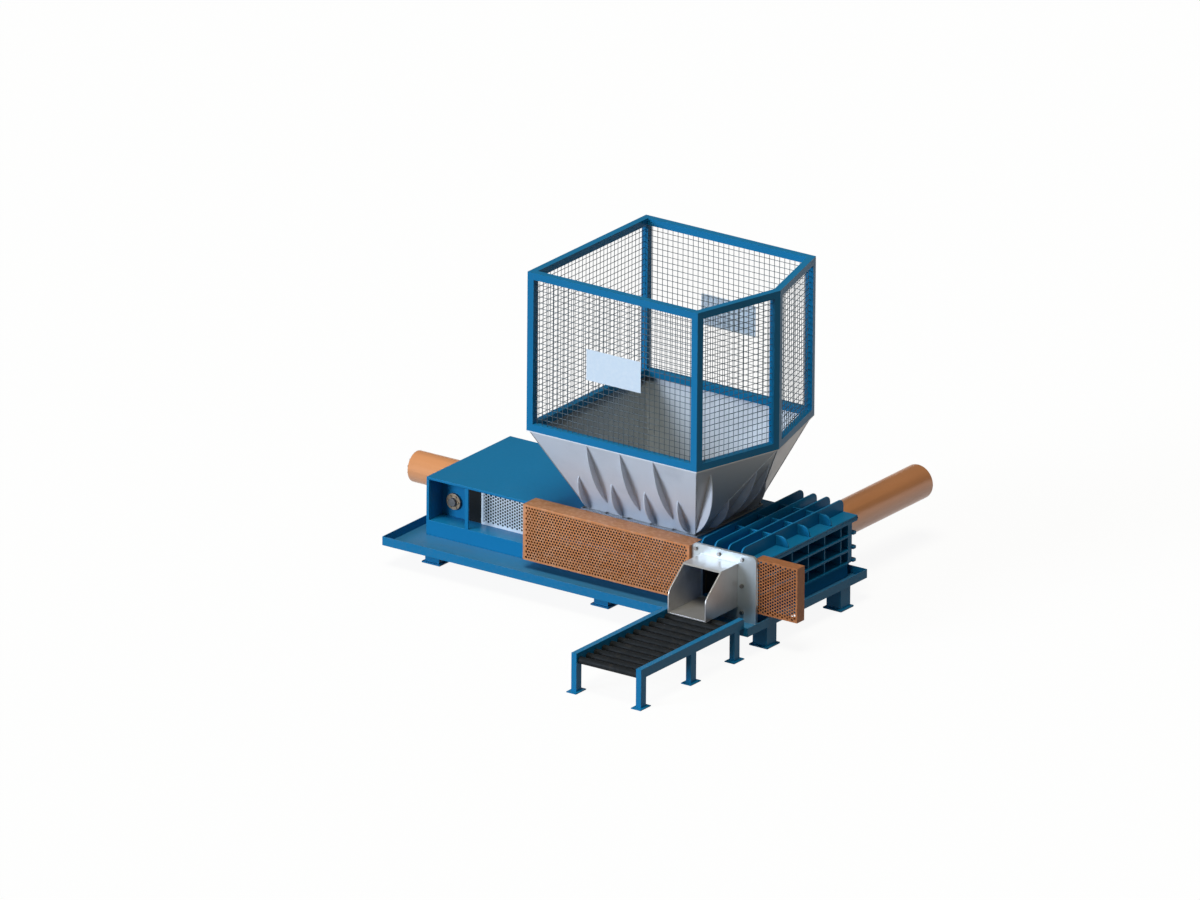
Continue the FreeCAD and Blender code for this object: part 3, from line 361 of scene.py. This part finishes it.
# the tray's level faces get a pale tint that lightens its floor
tray_enamel = enamel("blue_tray_enamel", BLUE, BLUE_DEEP, BLUE_CHIP, oil=0.20,
                     level_tint=(0.06, PALE_LEVEL_TINT))
# painted shade: both copper guards get the oil colour over their level faces, partly oil film and
# partly shade darkening their tops
copper_enamel = enamel("copper_guard_enamel", COPPER, COPPER_DEEP, COPPER_CHIP, metallic=0.08,
                       gloss=0.2, roughness=0.38, wear=0.5, level_tint=(0.42, OIL))
# painted shade: the end guard is painted in the darker copy of the copper
end_guard_enamel = enamel("copper_end_guard_painted_shade_enamel", COPPER_SHADED, COPPER_SHADED_DEEP, COPPER,
                          metallic=0.08, gloss=0.2, roughness=0.42, wear=0.5, level_tint=(0.2, OIL))
copper_barrel = enamel("copper_barrel_enamel", BARREL, BARREL_DEEP, COPPER_CHIP, metallic=0.18,
                       gloss=0.35, roughness=0.27)
board_paint = enamel("board_paint", BOARD, BOARD_DEEP, WHITE, wear=0.3)
hopper_sheet = hopper_steel()
blade_steel = brushed("dull_hopper_blade", BLADE, BLADE_DARK, roughness=0.48,
                      stretch=(1, 1, 16), metallic=0.15)
outlet_sheet = brushed("satin_outlet_plate", SHEET, SHEET_DARK, roughness=0.32,
                       stretch=(16, 1, 1), metallic=0.62, relief=0.01)
chute_sheet = brushed("dull_chute_sheet", CHUTE, CHUTE_DARK, roughness=0.34,
                      stretch=(1, 16, 1), metallic=0.65, relief=0.03)
vent_sheet = brushed("pale_vent_sheet", VENT, SHEET_DARK, roughness=0.34,
                     stretch=(1, 1, 16), metallic=0.25)
liner_steel = plain_metal("worn_liner_steel", LINER, roughness=0.45, metallic=0.5)
mesh_wire = plain_metal("dark_mesh_wire", WIRE, roughness=0.46, metallic=0.5)
zinc_bolt = plain_metal("zinc_bolt", ZINC, roughness=0.34)
port_steel = port_metal()
machined_steel = plain_metal("machined_steel", MACHINED, roughness=0.30)
# painted shade: the gate's plate, cylinder and rails, seen through the guard's holes, are near
# black so the holes read as shade
shade_black_steel = plain_metal("steel_black_as_painted_shade", OIL_BLACK_AND_SHADE, roughness=0.45, metallic=0.2)
ram_steel = plain_metal("worn_ram_steel", RAM, roughness=0.42, metallic=0.5)
chromed_rod = plain_metal("chromed_rod", CHROME, roughness=0.08, marks=0.04)
roller_black = roller_coating()
weld_bead = plain_metal("weld_bead", WELD, roughness=0.38, metallic=0.6, marks=0.2)
cap_steel = plain_metal("turned_cap_steel", CAP, roughness=0.32, metallic=0.9)

FINISHES = {
    "blue": blue_enamel, "orange": copper_enamel, "sheet": outlet_sheet, "board": board_paint,
    "stainless": hopper_sheet, "mesh": mesh_wire, "steel": machined_steel, "rod": chromed_rod,
    "roller": roller_black,
}
OWN_FINISH = {
    "drip_tray": tray_enamel, "outlet_chute": chute_sheet, "vent_panel": vent_sheet,
    "flange_bolts": zinc_bolt, "port_flange": port_steel, "gate_plate": shade_black_steel,
    "gate_cylinder": shade_black_steel, "hopper_ribs": blade_steel, "box_left_wall": liner_steel,
    "main_cylinder_barrel": copper_barrel, "cross_cylinder_barrel": copper_barrel,
    "housing_front_wall": behind_guard, "channel_walls": behind_vent, "main_ram": ram_steel,
    "cross_ram": ram_steel, "gate_rails": shade_black_steel, "gate_end_guard": end_guard_enamel,
}


def dress(obj, material):
    obj.data.materials.clear()
    obj.data.materials.append(material)


slot_of = {row["node"]: row["material_slot"] for row in frame["record"]["subparts"]}
for node_name, node in NODES.items():
    dress(node, OWN_FINISH.get(node_name, FINISHES[slot_of[node_name]]))


# ---- softened edges on the plates and sections ---------------------------------------------------
SOFT_EDGES_MM = {
    "drip_tray": 1.5, "support_feet": 3, "housing_front_wall": 3, "housing_roof": 4,
    "box_top_plate": 4, "box_top_ribs": 4, "box_side_ribs": 3, "box_back_wall": 4,
    "cage_frame": 4, "conveyor_frame": 4, "outlet_plate": 4, "outlet_chute": 2.5,
    "hopper_ribs": 2, "sign_boards": 1, "gate_rails": 2, "main_ram": 3, "cross_ram": 3,
    "gate_plate": 3, "channel_floor": 2, "box_right_wall": 2, "flange_bolts": 1,
    "main_cylinder_barrel": 5, "cross_cylinder_barrel": 5, "port_flange": 2,
}


def soften(obj, width):
    """Joins the loose triangles, clears the flat ones' inner edges and rounds what is sharp."""
    obj.modifiers.new("joined", "WELD").merge_threshold = 0.02 * MM
    flat = obj.modifiers.new("flat_faces", "DECIMATE")
    flat.decimate_type = "DISSOLVE"
    flat.angle_limit = FLAT
    rounding = obj.modifiers.new("rounded_edges", "BEVEL")
    rounding.width = width * MM
    rounding.segments = 2
    rounding.limit_method = "ANGLE"
    rounding.angle_limit = CREASE
    rounding.harden_normals = True


for node_name, width in SOFT_EDGES_MM.items():
    soften(NODES[node_name], width)


# ---- objects and meshes --------------------------------------------------------------------------
def add_object(name, data):
    made = bpy.data.objects.new(name, data)
    bpy.context.scene.collection.objects.link(made)
    return made


def add_mesh(name, bm):
    mesh = bpy.data.meshes.new(name)
    bm.to_mesh(mesh)
    bm.free()
    return add_object(name, mesh)


# ---- cylinder end caps and weld beads, sizes in mm -----------------------------------------------
CAP_THICKNESS = 6
CAP_INSET = 14                  # how much smaller its radius is than the barrel's
CAP_RIM_WIDTH = 26
CAP_BEVEL = 2
GROOVE_WIDTH = 3
GROOVE_DEPTH = 2.5
SCREWS = 12
SCREW_INSET = 27.5              # from the barrel's radius to the ring of screws
HEAD_SIZE = 9                   # a screw head's height, and its radius
HEAD_BEVEL = 1
HEAD_SIDES = 24
SOCKET_RADIUS = 4.6
SOCKET_LIFT = 0.2               # keeps the socket's face clear of the head's
SOCKET_EDGE = 0.9
SOCKET_DEPTH = 0.15
HEX = 6
PLUG_RADIUS = 17
PLUG_START, PLUG_END = 3, 12    # from the barrel's tail
BARREL_SIDES = 96
BEAD_SIDES = 10
HOPPER_BEAD_RADIUS = 4.5
COLLAR_BEAD_RADIUS = 5
BEAD_SPAN = (0.018, 0.985)      # the stretch of a folded corner that the bead covers


def turned_to(place, direction):
    """The transform that takes a shape made round Z to a place and turns it to a direction."""
    turn = direction.to_track_quat("Z", "Y").to_matrix().to_4x4()
    return Matrix.Translation(place) @ turn


def along(start, end):
    """The transform that lays a shape made along Z on the line from start to end."""
    return turned_to((start + end) / 2, end - start)


def attach(name, bm, material):
    """Makes the mesh a smooth piece with crisp edges that stays with the baler's frame."""
    piece = add_mesh(name, bm)
    piece.data.shade_smooth()
    piece.data.set_sharp_from_angle(angle=CREASE)
    dress(piece, material)
    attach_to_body(piece, "baler_frame")


def end_face(verts, direction):
    """The many-sided face at these vertices that points the given way."""
    faces = {face for vert in verts for face in vert.link_faces}
    return max(faces, key=lambda face: face.normal.dot(direction) * len(face.verts))


def turned_disc(bm, start, end, radius, segments, rim):
    """A disc from start to end with a bevelled far rim; returns its far face."""
    out = (end - start).normalized()
    made = bmesh.ops.create_cone(bm, cap_ends=True, segments=segments, radius1=radius,
                                 radius2=radius, depth=(end - start).length,
                                 matrix=along(start, end))
    bm.normal_update()
    far = end_face(made["verts"], out)
    bevelled = bmesh.ops.bevel(bm, geom=list(far.edges), offset=rim, segments=2, profile=0.5,
                               affect="EDGES", material=-1)
    bm.normal_update()
    return end_face(bevelled["verts"], out)


def socket_screw(bm, seat, out):
    """A cap screw with a six-sided socket, its head standing on the seat."""
    turned_disc(bm, seat, seat + out * HEAD_SIZE * MM, HEAD_SIZE * MM, HEAD_SIDES,
                HEAD_BEVEL * MM)
    just_above = seat + out * (HEAD_SIZE + SOCKET_LIFT) * MM
    socket = bmesh.ops.create_circle(bm, cap_ends=True, segments=HEX, radius=SOCKET_RADIUS * MM,
                                     matrix=turned_to(just_above, out))
    socket_floor = socket["verts"][0].link_faces[0]
    bmesh.ops.inset_individual(bm, faces=[socket_floor], thickness=SOCKET_EDGE * MM,
                               depth=-SOCKET_DEPTH * MM)


def tail_cap(name, tail, out, radius):
    """The turned cap on a cylinder's closed end, with its ring of screws and a filler plug."""
    bm = bmesh.new()
    outer = tail + out * CAP_THICKNESS * MM
    face = turned_disc(bm, tail, outer, radius - CAP_INSET * MM, BARREL_SIDES, CAP_BEVEL * MM)
    bmesh.ops.inset_region(bm, faces=[face], thickness=CAP_RIM_WIDTH * MM, depth=0)
    bmesh.ops.inset_region(bm, faces=[face], thickness=GROOVE_WIDTH * MM,
                           depth=-GROOVE_DEPTH * MM)
    for k in range(SCREWS):
        turn = math.radians(360 / SCREWS * (k + 0.5))
        spoke = Matrix.Rotation(turn, 3, out) @ Vector((0, 0, 1))
        socket_screw(bm, outer + spoke * (radius - SCREW_INSET * MM), out)
    turned_disc(bm, tail + out * PLUG_START * MM, tail + out * PLUG_END * MM, PLUG_RADIUS * MM,
                HEX, HEAD_BEVEL * MM)
    attach(name, bm, cap_steel)


def weld(bm, start, end):
    """A bead of weld laid along a line."""
    radius = HOPPER_BEAD_RADIUS * MM
    bmesh.ops.create_cone(bm, cap_ends=True, segments=BEAD_SIDES, radius1=radius, radius2=radius,
                          depth=(end - start).length, matrix=along(start, end))


def weld_ring(bm, centre, out, radius):
    """A bead of weld round a barrel."""
    spoke = Matrix.Rotation(math.radians(90), 3, out.orthogonal()) @ out
    bead = bmesh.ops.create_circle(bm, segments=BEAD_SIDES, radius=COLLAR_BEAD_RADIUS * MM,
                                   matrix=turned_to(centre + spoke * radius, spoke.cross(out)))
    edges = list({edge for vert in bead["verts"] for edge in vert.link_edges})
    bmesh.ops.spin(bm, geom=bead["verts"] + edges, cent=centre, axis=out, angle=math.tau,
                   steps=BARREL_SIDES, use_merge=True)


def on_main_axis(x):
    return in_row(x, MAIN_AXIS[0], MAIN_AXIS[1])


def on_cross_axis(y):
    return in_row(CROSS_AXIS[0], y, CROSS_AXIS[1])


def weld_hopper():
    """Beads along the hopper's folded corners and round its foot."""
    bm = bmesh.new()
    foot = [in_row(x, y, THROAT_Z) for x, y in HOPPER_THROAT]
    ring = [in_row(x, y, THROAT_WELD_Z) for x, y in HOPPER_THROAT]
    rim = [in_row(x, y, RIM_Z) for x, y in HOPPER_RIM]
    for low, high in HOPPER_EDGES:
        edge = rim[high] - foot[low]
        weld(bm, foot[low] + edge * BEAD_SPAN[0], foot[low] + edge * BEAD_SPAN[1])
    for k, corner in enumerate(ring):
        weld(bm, corner, ring[(k + 1) % len(ring)])
    bmesh.ops.recalc_face_normals(bm, faces=bm.faces)
    attach("hopper_welds", bm, weld_bead)


def weld_barrels():
    """A bead round each barrel where it meets its collar."""
    bm = bmesh.new()
    weld_ring(bm, on_main_axis(MAIN_COLLAR_X), Vector((1, 0, 0)), MAIN_RADIUS * MM)
    weld_ring(bm, on_cross_axis(CROSS_COLLAR_Y), Vector((0, 1, 0)), CROSS_RADIUS * MM)
    bmesh.ops.recalc_face_normals(bm, faces=bm.faces)
    attach("barrel_welds", bm, copper_barrel)


tail_cap("main_cylinder_tail_cap", on_main_axis(MAIN_TAIL_X), Vector((-1, 0, 0)),
         MAIN_RADIUS * MM)
tail_cap("cross_cylinder_tail_cap", on_cross_axis(CROSS_TAIL_Y), Vector((0, 1, 0)),
         CROSS_RADIUS * MM)
weld_hopper()
weld_barrels()


# ---- stage, light and camera, sizes in metres ----------------------------------------------------
FLOOR_HALF = 60
FLOOR_GLOW = 0.92               # how much of what the camera sees of the floor shines by itself
LAMP_WIDTH = math.radians(24)
LAMP_DISTANCE = 10
CAMERA_DISTANCE = 270.2


def floor():
    """White to the camera, in mirrors and through glass, but a dim grey to scattered light."""
    bm = bmesh.new()
    bmesh.ops.create_grid(bm, x_segments=1, y_segments=1, size=FLOOR_HALF)
    ground = add_mesh("floor", bm)
    paint = Finish("pale_floor", Roughness=0.9, Specular_IOR_Level=0.0)
    seen, mirrored, through = [paint.make("ShaderNodeLightPath", out="Is %s Ray" % kind)
                               for kind in ("Camera", "Glossy", "Transmission")]
    shown = seen.larger(mirrored).larger(through)
    paint.feed("Base Color", paint.mix(shown, FLOOR_BOUNCE, WHITE))
    glow = paint.make("ShaderNodeEmission", None, {"Color": WHITE, "Strength": 1.0})
    shaded = Socket(paint, paint.shader.outputs[0])
    surface = paint.make("ShaderNodeMixShader", None,
                         {0: shown * FLOOR_GLOW, 1: shaded, 2: glow})
    paint.tree.links.new(surface.output, paint.tree.nodes["Material Output"].inputs["Surface"])
    dress(ground, paint.material)


def lamp_from(name, direction, energy, colour):
    """A far, broad soft lamp that shines from one side."""
    lamp = bpy.data.lights.new(name, "SUN")
    lamp.energy = energy
    lamp.angle = LAMP_WIDTH
    lamp.color = colour
    holder = add_object(name, lamp)
    holder.location = Vector(direction) * LAMP_DISTANCE
    holder.rotation_euler = Vector(direction).to_track_quat("Z", "Y").to_euler()


def light():
    """A cool lamp from the front, a warm one from above and a dim warm sky."""
    lamp_from("front_lamp", (-0.42, -0.86, 0.29), energy=2.34, colour=(0.86, 1.0, 1.2))
    lamp_from("top_lamp", (0.04, -0.28, 0.955), energy=1.87, colour=(1.0, 0.98, 0.84))
    world = bpy.data.worlds.new("studio")
    world.use_nodes = True
    sky = world.node_tree.nodes["Background"].inputs
    sky["Color"].default_value = (1.0, 0.97, 0.88, 1)
    sky["Strength"].default_value = 0.14
    bpy.context.scene.world = world


def camera():
    """A very long lens from the front right, with the slight roll of the photograph."""
    right = Vector((0.81927, 0.57336, 0.00737))
    up = Vector((-0.20457, 0.28027, 0.93787))
    back = Vector((0.53567, -0.76988, 0.34691))
    aim = in_row(1253.9, 1277.1, 898.0)
    lens = bpy.data.cameras.new("camera")
    lens.lens = 1000
    lens.sensor_width = 36
    lens.clip_end = 600
    holder = add_object("camera", lens)
    turn = Matrix((right, up, back)).transposed().to_4x4()
    holder.matrix_world = Matrix.Translation(aim + back * CAMERA_DISTANCE) @ turn
    bpy.context.scene.camera = holder


floor()
light()
camera()
bpy.context.scene.view_settings.view_transform = "Standard"
